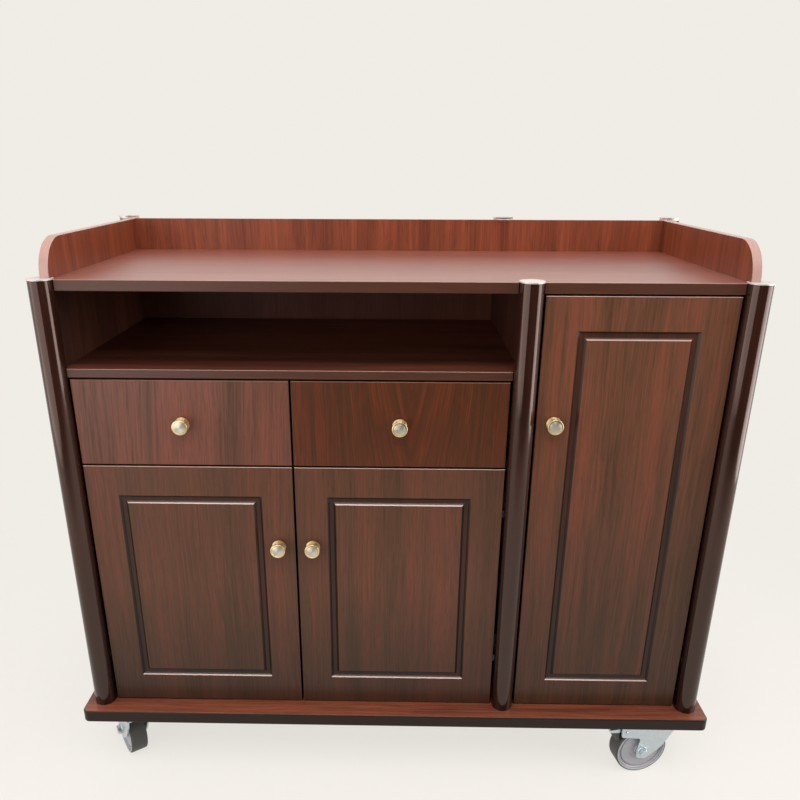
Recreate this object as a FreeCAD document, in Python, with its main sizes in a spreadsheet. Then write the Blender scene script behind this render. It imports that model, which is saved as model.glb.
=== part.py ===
import FreeCAD, Part

import math
import os

import Sketcher

# A service cabinet on casters: open niche, two drawers, two small doors and one tall door,
# six round posts round the carcass and a low gallery round three sides of the worktop.
# X runs along the front, the front faces -Y, Z is up, and the floor is at zero.
# All lengths are millimetres, and all angles are degrees.
SIZES = {
    # Base board
    "base_length": 1200,
    "base_depth": 520,
    "base_thick": 25,
    "base_corner": 12,
    "base_edge": 3,
    # Carcass boards
    "post_inset_x": 34.5,
    "post_inset_y": 38,
    "panel_thick": 15,
    "back_thick": 12,
    "worktop_thick": 18,
    "worktop_height": 815,
    "shelf_thick": 15,
    "niche_height": 127.5,
    "divider_x": 211,
    "gallery_height": 63,
    "gallery_corner": 60,
    "band_edge": 1.2,
    "board_clear": 1,
    "notch_clear": 1.3,
    # Posts and their caps
    "post_dia": 39,
    "slot_clear": 0.3,
    "front_cap_thick": 2,
    "rear_cap_thick": 2.5,
    "cap_lip": 1,
    "rear_post_rise": 2.5,
    "rear_middle_x": 220,
    # Doors and drawer fronts
    "front_thick": 16,
    "front_gap": 3,
    "post_gap": 3.5,
    "drawer_front_height": 151.5,
    "door_edge": 1.5,
    "groove_margin": 56,
    "groove_width": 15,
    "groove_slope": 4,
    "groove_depth": 4,
    # Drawer boxes
    "drawer_side_thick": 12,
    "drawer_lift": 12,
    "drawer_headroom": 26.5,
    "drawer_back_clear": 16,
    "drawer_floor_thick": 6,
    "drawer_floor_lift": 8,
    # Drawer runners
    "runner_space": 13,
    "runner_nest_gap": 2.5,
    "runner_height": 38,
    "runner_sheet": 1.2,
    "runner_setback": 4,
    "runner_back_clear": 27.5,
    "runner_clear": 0.3,
    # Adjustable shelves and their pins
    "shelf_setback": 32,
    "shelf_back_clear": 5,
    "shelf_clear": 1,
    "pin_dia": 5,
    "pin_depth": 7,
    "pin_reach": 8,
    "pin_inset": 50,
    "pin_clear": 0.2,
    # Concealed hinges
    "hinge_inset": 93,
    "cup_dia": 35,
    "cup_depth": 12,
    "cup_offset": 22.5,
    "cup_clear": 0.2,
    "flange_width": 46,
    "flange_length": 26,
    "flange_thick": 1.2,
    "boss_width": 12,
    "boss_length": 9,
    "boss_height": 5,
    "boss_clear": 0.5,
    "arm_width": 14,
    "arm_thick": 10,
    "arm_length": 66,
    "arm_reach": 4.5,
    "arm_clear": 1.2,
    "plate_width": 46,
    "plate_length": 20,
    # Knobs, as radii and distances out from the front
    "knob_foot_radius": 10,
    "knob_foot_thick": 2,
    "knob_neck_radius": 6.5,
    "knob_neck_end": 9.5,
    "knob_body_radius": 11.6,
    "knob_ridge_height": 1.2,
    "knob_ridge_width": 1.8,
    "knob_ridge_gap": 1,
    "knob_rim_height": 1.7,
    "knob_rim_width": 5,
    "knob_rim_wall": 1.6,
    "knob_face_sink": 0.5,
    "knob_tip_rise": 1,
    "door_knob_inset": 29,
    "low_knob_height": 345,
    "tall_knob_height": 582,
    # Casters
    "caster_inset_x": 76,
    "caster_inset_y": 57,
    "trail": 33,
    "plate_x": 95,
    "plate_y": 64,
    "caster_plate_thick": 4,
    "caster_plate_corner": 6,
    "race_dia": 56,
    "race_thick": 6,
    "race_clear": 0.4,
    "kingpin_dia": 12,
    "kingpin_head_dia": 22,
    "kingpin_head_thick": 3.2,
    "kingpin_clear": 0.08,
    "screw_inset": 9.5,
    "screw_dia": 6,
    "screw_clear": 0.5,
    "screw_head_dia": 11,
    "screw_head_thick": 3.5,
    "screw_socket_dia": 4,
    "screw_socket_depth": 2,
    # Forks, measured from the wheel's axle towards the kingpin
    "crown_dia": 60,
    "crown_thick": 4,
    "fork_sheet": 3,
    "fork_gap": 8.6,
    "hub_side_clear": 0.5,
    "fork_hook": 50,
    "fork_hook_drop": 21.6,
    "fork_hook_slope": 9,
    "fork_waist": 8,
    "fork_tail": 14,
    "fork_tail_rise": 4,
    "fork_toe": 12,
    "fork_toe_drop": 15,
    "fork_heel": 40,
    "fork_heel_rise": 8,
    "fork_nose": 69,
    "fork_nose_drop": 19,
    "fork_nose_turn": 63,
    "fork_round": 9,
    "fork_hook_round": 6,
    "axle_dia": 10,
    "axle_head_dia": 17,
    "axle_head_thick": 8,
    "axle_clear": 0.08,
    # Wheels
    "wheel_dia": 106,
    "tyre_inset": 1.5,
    "tyre_thick": 6,
    "tyre_round": 4,
    "hub_width": 36,
    "hub_radius": 13,
    "hub_rim_width": 30,
    "hub_rim_thick": 2.5,
    "hub_web_width": 26,
    "hub_groove_radius": 41,
    "hub_groove_width": 20,
    "hub_groove_span": 2.5,
    "tyre_clear": 0.05,
    # Brake pedals
    "pedal_length": 40,
    "pedal_start": 18,
    "pedal_side_gap": 3,
    "pedal_sheet": 2.5,
    "pedal_roof_gap": 2.6,
    "pedal_near_depth": 11,
    "pedal_far_depth": 6,
    "pedal_pivot_inset": 9,
    "pedal_pivot_drop": 11.6,
    "pedal_pin_dia": 5,
    "pedal_pin_clear": 0.08,
    "pedal_shoe_width": 24,
    "pedal_shoe_length": 6,
    "pedal_shoe_drop": 36.6,
    # One overrun for every cutting tool
    "overrun": 5,
}

# Places given as shares: a shelf's height in its bay, a hinge's place between the end ones,
# a screw's place on its plate, and a caster's turn as a share of a full circle from +X
CUPBOARD_SHELF_SHARE = 0.5
TALL_SHELF_SHARES = (0.333, 0.667)
PAIR_SHARES = (0, 1)
TRIPLE_SHARES = (0, 0.5, 1)
END_SHARES = (-0.5, 0.5)
TURN_SHARES = {"front_left": -0.152, "front_right": 0.033, "rear_left": 0.39, "rear_right": 0.1}

# Edges and faces nearer to each other than this count as one
touch = 0.0001

doc = FreeCAD.newDocument("service_cabinet")
sheet = doc.addObject("Spreadsheet::Sheet", "Sizes")
for row, (alias, length) in enumerate(SIZES.items(), start=1):
    sheet.set(f"A{row}", alias)
    sheet.set(f"B{row}", str(length))
    sheet.setAlias(f"B{row}", alias)
doc.recompute()


def number(amount):
    return amount.value if isinstance(amount, Size) else amount


def formula(amount):
    return amount.text if isinstance(amount, Size) else repr(amount)


class Size:
    """A length that knows both its number and the cell formula that gives it."""

    def __init__(self, value, text):
        self.value = value
        self.text = text

    def __add__(self, other):
        return Size(self.value + number(other), f"({self.text} + {formula(other)})")

    def __radd__(self, other):
        return Size(number(other) + self.value, f"({formula(other)} + {self.text})")

    def __sub__(self, other):
        return Size(self.value - number(other), f"({self.text} - {formula(other)})")

    def __rsub__(self, other):
        return Size(number(other) - self.value, f"({formula(other)} - {self.text})")

    def __mul__(self, other):
        return Size(self.value * number(other), f"({self.text} * {formula(other)})")

    def __rmul__(self, other):
        return Size(number(other) * self.value, f"({formula(other)} * {self.text})")

    def __truediv__(self, other):
        return Size(self.value / number(other), f"({self.text} / {formula(other)})")

    def __neg__(self):
        return 0 - self


class Sheet:
    """Gives each cell of the sheet as a Size, by its alias."""

    def __getattr__(self, alias):
        return Size(float(sheet.get(alias)), f"Sizes.{alias}")


size = Sheet()
nodes = []


def bind(thing, **amounts):
    for name, amount in amounts.items():
        if isinstance(amount, Size):
            thing.setExpression(name, amount.text)
        else:
            setattr(thing, name, amount)


def place(thing, x, y, z, turn=None):
    rotation = turn if turn else FreeCAD.Rotation()
    thing.Placement = FreeCAD.Placement(FreeCAD.Vector(number(x), number(y), number(z)), rotation)
    for axis, amount in zip("xyz", (x, y, z)):
        if isinstance(amount, Size):
            thing.setExpression(f"Placement.Base.{axis}", amount.text)
    return thing


def keep(thing, label):
    thing.Label = label
    nodes.append(thing)
    return thing


def box(x, y, z, length, width, height):
    solid = doc.addObject("Part::Box", "box")
    bind(solid, Length=length, Width=width, Height=height)
    return place(solid, x, y, z)


ALONG = {
    "X": FreeCAD.Rotation(FreeCAD.Vector(0, 1, 0), 90),
    "Y": FreeCAD.Rotation(FreeCAD.Vector(1, 0, 0), -90),
    "Z": FreeCAD.Rotation(),
}


def rod(x, y, z, radius, length, axis="Z"):
    solid = doc.addObject("Part::Cylinder", "rod")
    bind(solid, Radius=radius, Height=length)
    return place(solid, x, y, z, ALONG[axis])


def join(*pieces):
    if len(pieces) == 1:
        return pieces[0]
    union = doc.addObject("Part::MultiFuse", "union")
    union.Shapes = list(pieces)
    return union


def cut(base, *tools):
    result = doc.addObject("Part::Cut", "cut")
    result.Base = base
    result.Tool = join(*tools)
    return result


def group(pieces):
    bundle = doc.addObject("Part::Compound", "group")
    bundle.Links = pieces
    return bundle


def new_body(name):
    return doc.addObject("PartDesign::Body", name)


def new_sketch(body, plane):
    sketch = body.newObject("Sketcher::SketchObject", "sketch")
    origin_plane = [part for part in body.Origin.OriginFeatures if part.Role == plane][0]
    sketch.AttachmentSupport = [(origin_plane, "")]
    sketch.MapMode = "FlatFace"
    return sketch


def fix_point(sketch, element, end, name, x, y):
    for kind, axis, amount in (("DistanceX", -2, x), ("DistanceY", -1, y)):
        if number(amount) == 0:
            sketch.addConstraint(Sketcher.Constraint("PointOnObject", element, end, axis))
            continue
        rule = Sketcher.Constraint(kind, -1, 1, element, end, number(amount))
        index = sketch.addConstraint(rule)
        sketch.renameConstraint(index, f"{name}_{kind}")
        sketch.setExpression(f"Constraints.{name}_{kind}", formula(amount))


def polygon(sketch, points):
    first = sketch.GeometryCount
    count = len(points)
    for index, (x, y) in enumerate(points):
        next_x, next_y = points[(index + 1) % count]
        start = FreeCAD.Vector(number(x), number(y), 0)
        end = FreeCAD.Vector(number(next_x), number(next_y), 0)
        sketch.addGeometry(Part.LineSegment(start, end), False)
    for index, (x, y) in enumerate(points):
        after = first + (index + 1) % count
        sketch.addConstraint(Sketcher.Constraint("Coincident", first + index, 2, after, 1))
        fix_point(sketch, first + index, 1, f"corner{first + index}", x, y)
    return sketch


def rectangle(sketch, x0, y0, x1, y1):
    return polygon(sketch, [(x0, y0), (x1, y0), (x1, y1), (x0, y1)])


def circle(sketch, x, y, radius):
    centre = FreeCAD.Vector(number(x), number(y), 0)
    round_line = Part.Circle(centre, FreeCAD.Vector(0, 0, 1), number(radius))
    element = sketch.addGeometry(round_line, False)
    fix_point(sketch, element, 3, f"centre{element}", x, y)
    index = sketch.addConstraint(Sketcher.Constraint("Radius", element, number(radius)))
    sketch.renameConstraint(index, f"radius{element}")
    sketch.setExpression(f"Constraints.radius{element}", formula(radius))
    return sketch


def extrude(body, kind, sketch, length, side="One side", reverse=False):
    feature = body.newObject(f"PartDesign::{kind}", kind.lower())
    feature.Profile = sketch
    feature.SideType = side
    feature.Reversed = reverse
    bind(feature, Length=length)
    doc.recompute()
    return feature


def revolve(body, sketch, axis):
    feature = body.newObject("PartDesign::Revolution", "revolution")
    feature.Profile = sketch
    feature.ReferenceAxis = (sketch, [axis])
    feature.Angle = 360
    doc.recompute()
    return feature


def round_edges(body, base, radius, wanted):
    names = [f"Edge{i}" for i, edge in enumerate(base.Shape.Edges, start=1) if wanted(edge)]
    feature = body.newObject("PartDesign::Fillet", "fillet")
    feature.Base = (base, names)
    bind(feature, Radius=radius)
    doc.recompute()
    return feature


def lies_at(edge, axis, amount):
    low = getattr(edge.BoundBox, f"{axis}Min")
    high = getattr(edge.BoundBox, f"{axis}Max")
    return abs(low - number(amount)) < touch and abs(high - number(amount)) < touch


def runs_along(edge, axis):
    spans = {name: getattr(edge.BoundBox, f"{name}Length") for name in "XYZ"}
    return all(spans[name] < touch for name in "XYZ" if name != axis)


# Planes and heights that several pieces share
overrun = size.overrun
axle_z = size.wheel_dia / 2
fork_under = size.wheel_dia + size.fork_gap
crown_low = fork_under + size.fork_sheet
crown_top = crown_low + size.crown_thick
race_low = crown_top + size.race_clear
plate_low = race_low + size.race_thick
caster_height = plate_low + size.caster_plate_thick
floor = caster_height + size.base_thick
half_width = size.base_length / 2 - size.post_inset_x
inner_half = half_width - size.panel_thick
rear = size.base_depth / 2 - size.post_inset_y
front = -rear
top = floor + size.worktop_height
gallery_top = top + size.gallery_height
worktop_under = top - size.worktop_thick
back_face = rear - size.back_thick
post_radius = size.post_dia / 2
front_back = front + size.front_thick
inner_front = front + post_radius + size.board_clear
divider_left = size.divider_x - size.panel_thick / 2
divider_right = size.divider_x + size.panel_thick / 2
niche_floor = worktop_under - size.niche_height
niche_under = niche_floor - size.shelf_thick
drawer_front_high = niche_under - size.front_gap
drawer_front_low = drawer_front_high - size.drawer_front_height
split = drawer_front_low - size.front_gap / 2
deck_low = split - size.shelf_thick / 2
deck_high = split + size.shelf_thick / 2


# Base board: a thick board with rounded corners and softened edges
def base_board():
    body = new_body("base_board")
    half_length = size.base_length / 2
    half_depth = size.base_depth / 2
    sketch = rectangle(new_sketch(body, "XY_Plane"), -half_length, -half_depth, half_length, half_depth)
    board = extrude(body, "Pad", sketch, size.base_thick)
    board = round_edges(body, board, size.base_corner, lambda edge: runs_along(edge, "Z"))
    round_edges(
        body,
        board,
        size.base_edge,
        lambda edge: lies_at(edge, "Z", 0) or lies_at(edge, "Z", size.base_thick),
    )
    return place(body, 0, 0, caster_height)


keep(base_board(), "base_board")


# Holes and pins for the adjustable shelves: two pins at each end of a shelf
shelf_front = front + size.shelf_setback
shelf_back = back_face - size.shelf_back_clear


def pin_rows(low_z):
    z = low_z - size.pin_dia / 2
    return [(shelf_front + size.pin_inset, z), (shelf_back - size.pin_inset, z)]


def pin_hole(face_x, side, y, z):
    depth = size.pin_depth + size.pin_clear
    start = face_x - (depth if side > 0 else overrun)
    return rod(start, y, z, size.pin_dia / 2 + size.pin_clear, depth + overrun, "X")


def shelf_pin(face_x, side, y, z):
    start = face_x - (size.pin_depth if side > 0 else size.pin_reach)
    return rod(start, y, z, size.pin_dia / 2, size.pin_depth + size.pin_reach, "X")


# The four faces that hold shelves, each with the way it looks along X
FACES = {
    "left_side": (-inner_half, 1),
    "divider_left": (divider_left, -1),
    "divider_right": (divider_right, 1),
    "right_side": (inner_half, -1),
}


def shelf_low(bay_high, share):
    return floor + (bay_high - floor - size.shelf_thick) * share


SHELVES = {
    "cupboard_shelf": ("left_side", "divider_left", shelf_low(deck_low, CUPBOARD_SHELF_SHARE)),
    "tall_shelf_lower": ("divider_right", "right_side", shelf_low(worktop_under, TALL_SHELF_SHARES[0])),
    "tall_shelf_upper": ("divider_right", "right_side", shelf_low(worktop_under, TALL_SHELF_SHARES[1])),
}


def holes_in(face):
    face_x, side = FACES[face]
    return [
        pin_hole(face_x, side, y, z)
        for *ends, low_z in SHELVES.values()
        if face in ends
        for y, z in pin_rows(low_z)
    ]


# Side panels: full height up to the gallery, with a large round at the top front corner
def side_panel(start_x, face):
    body = new_body("side_panel")
    sketch = rectangle(new_sketch(body, "YZ_Plane"), front, floor, rear, gallery_top)
    board = extrude(body, "Pad", sketch, size.panel_thick)
    board = round_edges(
        body,
        board,
        size.gallery_corner,
        lambda edge: lies_at(edge, "Y", front) and lies_at(edge, "Z", gallery_top),
    )
    round_edges(
        body,
        board,
        size.band_edge,
        lambda edge: not runs_along(edge, "X")
        and not lies_at(edge, "Z", floor)
        and not lies_at(edge, "Y", rear),
    )
    place(body, start_x, 0, 0)
    return cut(body, *holes_in(face))


keep(side_panel(-half_width, "left_side"), "side_panel_left")
keep(side_panel(inner_half, "right_side"), "side_panel_right")

# Divider between the two bays, and the back panel that rises into the gallery
divider = box(divider_left, front, floor, size.panel_thick, back_face - front, worktop_under - floor)
keep(cut(divider, *holes_in("divider_left"), *holes_in("divider_right")), "centre_divider")
keep(
    box(-inner_half, back_face, floor, 2 * inner_half, size.back_thick, gallery_top - floor),
    "back_panel",
)


# Worktop and niche shelf: boards with a softened front edge, notched round the front posts
def fronted_board(left_x, right_x, low_z, thick, notch_places):
    body = new_body("fronted_board")
    sketch = rectangle(new_sketch(body, "XY_Plane"), left_x, front, right_x, back_face)
    board = extrude(body, "Pad", sketch, thick)
    board = round_edges(
        body, board, size.band_edge, lambda edge: lies_at(edge, "Y", front) and runs_along(edge, "X")
    )
    place(body, 0, 0, low_z)
    radius = post_radius + size.notch_clear
    notches = [rod(x, front, low_z - overrun, radius, thick + 2 * overrun) for x in notch_places]
    return cut(body, *notches)


keep(
    fronted_board(
        -inner_half, inner_half, worktop_under, size.worktop_thick,
        [-half_width, size.divider_x, half_width],
    ),
    "worktop",
)
keep(
    fronted_board(
        -inner_half, divider_left, niche_under, size.shelf_thick, [-half_width, size.divider_x]
    ),
    "niche_shelf",
)

# Where the fronts lie: each bay's fronts stop short of the posts on both sides
bay_left = -half_width + post_radius + size.post_gap
bay_right = size.divider_x - post_radius - size.post_gap
pair_middle = (bay_left + bay_right) / 2
pair_left = pair_middle - size.front_gap / 2
pair_right = pair_middle + size.front_gap / 2
tall_left = size.divider_x + post_radius + size.post_gap
tall_right = half_width - post_radius - size.post_gap
door_low = floor + size.front_gap
door_high = split - size.front_gap / 2
tall_door_high = worktop_under - size.front_gap

# Deck under the drawers and the upright between them, both set back behind the fronts
upright_left = pair_middle - size.panel_thick / 2
upright_right = pair_middle + size.panel_thick / 2
board_depth = back_face - inner_front
keep(
    box(-inner_half, inner_front, deck_low, inner_half + divider_left, board_depth, size.shelf_thick),
    "drawer_deck",
)
keep(
    box(upright_left, inner_front, deck_high, size.panel_thick, board_depth, niche_under - deck_high),
    "drawer_upright",
)

# Adjustable shelves on their pins
pins = []
for label, (*ends, low_z) in SHELVES.items():
    (left_x, _), (right_x, _) = [FACES[end] for end in ends]
    length = right_x - left_x - 2 * size.shelf_clear
    shelf = box(
        left_x + size.shelf_clear, shelf_front, low_z,
        length, shelf_back - shelf_front, size.shelf_thick,
    )
    keep(shelf, label)
    pins += [shelf_pin(*FACES[end], y, z) for end in ends for y, z in pin_rows(low_z)]
keep(group(pins), "shelf_pins")


# Posts: round bars that stand on the base board, cut where the carcass boards enter them
def post(x, y, low_z, height, cuts, radius=post_radius):
    bar = rod(x, y, low_z, radius, height)
    if not cuts:
        return bar
    tools = [box(*edges[:2], low_z - overrun, *edges[2:], height + 2 * overrun) for edges in cuts]
    return cut(bar, *tools)


slot_width = size.panel_thick + 2 * size.slot_clear
slot_start = front - size.slot_clear
slot_depth = post_radius + overrun
corner_reach = post_radius + overrun
front_posts = {
    "left": (-half_width, [(-half_width - size.slot_clear, slot_start, slot_width, slot_depth)]),
    "middle": (size.divider_x, [(divider_left - size.slot_clear, slot_start, slot_width, slot_depth)]),
    "right": (half_width, [(inner_half - size.slot_clear, slot_start, slot_width, slot_depth)]),
}
rear_posts = {
    "left": (-half_width, [(-half_width, rear - corner_reach, corner_reach, corner_reach)]),
    "middle": (
        size.rear_middle_x,
        [(size.rear_middle_x - corner_reach, rear - corner_reach, 2 * corner_reach, corner_reach)],
    ),
    "right": (half_width, [(half_width - corner_reach, rear - corner_reach, corner_reach, corner_reach)]),
}
front_post_height = size.worktop_height
rear_post_height = size.worktop_height + size.gallery_height + size.rear_post_rise
for side, (x, cuts) in front_posts.items():
    keep(post(x, front, floor, front_post_height, cuts), f"post_front_{side}")
for side, (x, cuts) in rear_posts.items():
    keep(post(x, rear, floor, rear_post_height, cuts), f"post_rear_{side}")

# Caps: thin discs a little wider than the posts and cut like them, with a whole disc on the middle
# front post
cap_radius = post_radius + size.cap_lip
caps = []
for side, (x, cuts) in front_posts.items():
    open_cuts = [] if side == "middle" else cuts
    low_z = floor + front_post_height
    caps.append(post(x, front, low_z, size.front_cap_thick, open_cuts, cap_radius))
for side, (x, cuts) in rear_posts.items():
    low_z = floor + rear_post_height
    caps.append(post(x, rear, low_z, size.rear_cap_thick, cuts, cap_radius))
keep(group(caps), "post_caps")


# A front: a slab in the front plane with softened front edges
def slab(left_x, right_x, low_z, high_z):
    body = new_body("slab")
    sketch = rectangle(new_sketch(body, "XZ_Plane"), left_x, low_z, right_x, high_z)
    board = extrude(body, "Pad", sketch, size.front_thick, reverse=True)
    round_edges(body, board, size.door_edge, lambda edge: lies_at(edge, "Y", 0))
    return place(body, 0, front, 0)


# The door's moulded line: a four-sided groove with sloping sides and mitred corners
def taper(left_x, right_x, low_z, high_z, spread):
    wedge = doc.addObject("Part::Wedge", "taper")
    bind(
        wedge,
        Xmin=left_x, Xmax=right_x, Zmin=low_z, Zmax=high_z,
        X2min=left_x - spread, X2max=right_x + spread, Z2min=low_z - spread, Z2max=high_z + spread,
        Ymin=0, Ymax=size.groove_depth,
    )
    return place(wedge, 0, front, 0)


def groove(left_x, right_x, low_z, high_z):
    outer = size.groove_margin
    inner = size.groove_margin + size.groove_width
    hollow = taper(left_x + outer, right_x - outer, low_z + outer, high_z - outer, -size.groove_slope)
    field = taper(left_x + inner, right_x - inner, low_z + inner, high_z - inner, size.groove_slope)
    return cut(hollow, field)


# A knob: foot, neck, three ridges, a wider rim and a shallow cone for a face
def knob(x, z):
    body = new_body("knob")
    points = [(0, 0), (size.knob_foot_radius, 0), (size.knob_foot_radius, size.knob_foot_thick)]
    points += [(size.knob_neck_radius, size.knob_foot_thick), (size.knob_neck_radius, size.knob_neck_end)]
    out = size.knob_neck_end
    ridge_radius = size.knob_body_radius + size.knob_ridge_height
    for ridge in range(3):
        points += [(ridge_radius, out), (ridge_radius, out + size.knob_ridge_width)]
        out = out + size.knob_ridge_width
        points += [(size.knob_body_radius, out), (size.knob_body_radius, out + size.knob_ridge_gap)]
        out = out + size.knob_ridge_gap
    rim_end = out + size.knob_rim_width
    rim_radius = size.knob_body_radius + size.knob_rim_height
    face_radius = rim_radius - size.knob_rim_wall
    points += [(rim_radius, out), (rim_radius, rim_end)]
    points += [(face_radius, rim_end), (face_radius, rim_end - size.knob_face_sink)]
    points += [(0, rim_end + size.knob_tip_rise)]
    sketch = polygon(new_sketch(body, "XY_Plane"), [(radius, -away) for radius, away in points])
    revolve(body, sketch, "V_Axis")
    return place(body, x, front, z)


# A concealed hinge: the cup with its flange and boss goes with the door, and the arm with its
# plate stays on the carcass. The edge is the door's hinge edge, and the wall is the face behind it.
def hinge_cup(edge_x, inward, z):
    cup_x = edge_x + inward * size.cup_offset
    cup = rod(cup_x, front_back - size.cup_depth, z, size.cup_dia / 2, size.cup_depth, "Y")
    flange_low = cup_x - size.flange_length / 2
    flange = box(
        flange_low, front_back, z - size.flange_width / 2,
        size.flange_length, size.flange_thick, size.flange_width,
    )
    near = edge_x + inward * (size.arm_reach + size.boss_clear)
    boss_low = near if inward > 0 else near - size.boss_length
    boss = box(
        boss_low, front_back, z - size.boss_width / 2, size.boss_length, size.boss_height,
        size.boss_width,
    )
    return join(cup, flange, boss)


def cup_bore(edge_x, inward, z):
    cup_x = edge_x + inward * size.cup_offset
    depth = size.cup_depth + size.cup_clear
    return rod(cup_x, front_back - depth, z, size.cup_dia / 2 + size.cup_clear, depth + overrun, "Y")


def hinge_arm(edge_x, wall_x, inward, z):
    arm_front = front_back + size.arm_clear
    near = edge_x + inward * size.arm_reach
    far = near - inward * size.arm_thick
    arm = box(
        far if inward > 0 else near, arm_front, z - size.arm_width / 2,
        size.arm_thick, size.arm_length, size.arm_width,
    )
    plate = box(
        wall_x if inward > 0 else far,
        arm_front + size.arm_length - size.plate_length,
        z - size.plate_width / 2,
        inward * (far - wall_x),
        size.plate_length,
        size.plate_width,
    )
    return join(arm, plate)


DOORS = {
    "left_door": (bay_left, pair_left, door_high, "left_side", PAIR_SHARES, size.low_knob_height),
    "right_door": (pair_right, bay_right, door_high, "divider_left", PAIR_SHARES, size.low_knob_height),
    "tall_door": (
        tall_left, tall_right, tall_door_high, "right_side", TRIPLE_SHARES, size.tall_knob_height,
    ),
}
arms = []
for label, (left_x, right_x, high_z, face, hinge_shares, knob_height) in DOORS.items():
    wall_x, inward = FACES[face]
    edge_x = left_x if inward > 0 else right_x
    lowest = door_low + size.hinge_inset
    heights = [lowest + (high_z - size.hinge_inset - lowest) * share for share in hinge_shares]
    tools = [groove(left_x, right_x, door_low, high_z)]
    tools += [cup_bore(edge_x, inward, z) for z in heights]
    keep(cut(slab(left_x, right_x, door_low, high_z), *tools), label)
    keep(group([hinge_cup(edge_x, inward, z) for z in heights]), f"{label}_hinge_cups")
    knob_x = right_x - size.door_knob_inset if inward > 0 else left_x + size.door_knob_inset
    keep(knob(knob_x, floor + knob_height), f"{label}_knob")
    arms += [hinge_arm(edge_x, wall_x, inward, z) for z in heights]
keep(group(arms), "hinge_arms")


# A runner profile: a channel whose open side faces the other half of the runner
box_low = deck_high + size.drawer_lift
box_high = niche_under - size.drawer_headroom
box_back = back_face - size.drawer_back_clear
runner_low = (box_low + box_high - size.runner_height) / 2
runner_start = inner_front + size.runner_setback
runner_length = back_face - size.runner_back_clear - runner_start
runner_depth = size.runner_space - size.runner_nest_gap


def channel(seat_x, inward, low_z, height):
    low_x = seat_x if inward > 0 else seat_x - runner_depth
    outer = box(low_x, runner_start, low_z, runner_depth, runner_length, height)
    hollow_x = seat_x + size.runner_sheet if inward > 0 else seat_x - runner_depth - overrun
    hollow = box(
        hollow_x, runner_start - overrun, low_z + size.runner_sheet,
        runner_depth - size.runner_sheet + overrun, runner_length + 2 * overrun,
        height - 2 * size.runner_sheet,
    )
    return cut(outer, hollow)


# Drawers: front, two sides, back and floor, with one half of each runner. The outer channels stand
# on packing strips, so that the rails pass between the posts.
rail_height = size.runner_height - 2 * size.runner_sheet - 2 * size.runner_clear
rail_low = runner_low + size.runner_sheet + size.runner_clear
seat_left = bay_left - size.runner_nest_gap
seat_right = bay_right + size.runner_nest_gap
strips = [
    box(low_x, runner_start, runner_low, width, runner_length, size.runner_height)
    for low_x, width in ((-inner_half, seat_left + inner_half), (seat_right, divider_left - seat_right))
]
keep(group(strips), "runner_strips")
DRAWERS = {
    "left_drawer": (bay_left, pair_left, seat_left, upright_left),
    "right_drawer": (pair_right, bay_right, upright_right, seat_right),
}
channels = []
for label, (left_x, right_x, wall_left, wall_right) in DRAWERS.items():
    side_left = wall_left + size.runner_space
    side_right = wall_right - size.runner_space
    inside_left = side_left + size.drawer_side_thick
    inside_width = side_right - size.drawer_side_thick - inside_left
    inside_length = box_back - front_back - size.drawer_side_thick
    keep(slab(left_x, right_x, drawer_front_low, drawer_front_high), f"{label}_front")
    sides = [
        box(x, front_back, box_low, size.drawer_side_thick, box_back - front_back, box_high - box_low)
        for x in (side_left, side_right - size.drawer_side_thick)
    ]
    keep(group(sides), f"{label}_sides")
    keep(
        box(inside_left, box_back - size.drawer_side_thick, box_low,
            inside_width, size.drawer_side_thick, box_high - box_low),
        f"{label}_back",
    )
    keep(
        box(inside_left, front_back, box_low + size.drawer_floor_lift,
            inside_width, inside_length, size.drawer_floor_thick),
        f"{label}_floor",
    )
    rails = [channel(side_left, -1, rail_low, rail_height), channel(side_right, 1, rail_low, rail_height)]
    keep(group(rails), f"{label}_rails")
    front_middle = (drawer_front_low + drawer_front_high) / 2
    keep(knob((left_x + right_x) / 2, front_middle), f"{label}_knob")
    channels.append(channel(wall_left, 1, runner_low, size.runner_height))
    channels.append(channel(wall_right, -1, runner_low, size.runner_height))
keep(group(channels), "runner_channels")

# Caster plates: a bolted plate, the fixed race and the kingpin, which carries the fork
kingpins = {}
for label in TURN_SHARES:
    row, side = label.split("_")
    x = size.base_length / 2 - size.caster_inset_x
    y = size.base_depth / 2 - size.caster_inset_y
    kingpins[label] = (-x if side == "left" else x, -y if row == "front" else y)
screw_places = [
    ((size.plate_x - 2 * size.screw_inset) * x_share, (size.plate_y - 2 * size.screw_inset) * y_share)
    for x_share in END_SHARES
    for y_share in END_SHARES
]


def caster_plate(x, y):
    body = new_body("caster_plate")
    half_x = size.plate_x / 2
    half_y = size.plate_y / 2
    sketch = rectangle(new_sketch(body, "XY_Plane"), -half_x, -half_y, half_x, half_y)
    plate = extrude(body, "Pad", sketch, size.caster_plate_thick)
    round_edges(body, plate, size.caster_plate_corner, lambda edge: runs_along(edge, "Z"))
    place(body, x, y, plate_low)
    race = rod(x, y, race_low, size.race_dia / 2, size.race_thick)
    pin_low = fork_under - size.race_clear - size.kingpin_head_thick
    pin = rod(x, y, pin_low, size.kingpin_dia / 2, race_low - pin_low)
    head = rod(x, y, pin_low, size.kingpin_head_dia / 2, size.kingpin_head_thick)
    solid = join(body, race, pin, head)
    holes = [
        rod(x + across, y + along, plate_low - overrun,
            size.screw_dia / 2 + size.screw_clear, size.caster_plate_thick + 2 * overrun)
        for across, along in screw_places
    ]
    return cut(solid, *holes)


def plate_screw(x, y):
    shank = rod(x, y, plate_low, size.screw_dia / 2, size.caster_plate_thick)
    head_low = plate_low - size.screw_head_thick
    head = rod(x, y, head_low, size.screw_head_dia / 2, size.screw_head_thick)
    socket = rod(
        x, y, head_low - overrun, size.screw_socket_dia / 2, size.screw_socket_depth + overrun
    )
    return cut(join(shank, head), socket)


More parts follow.
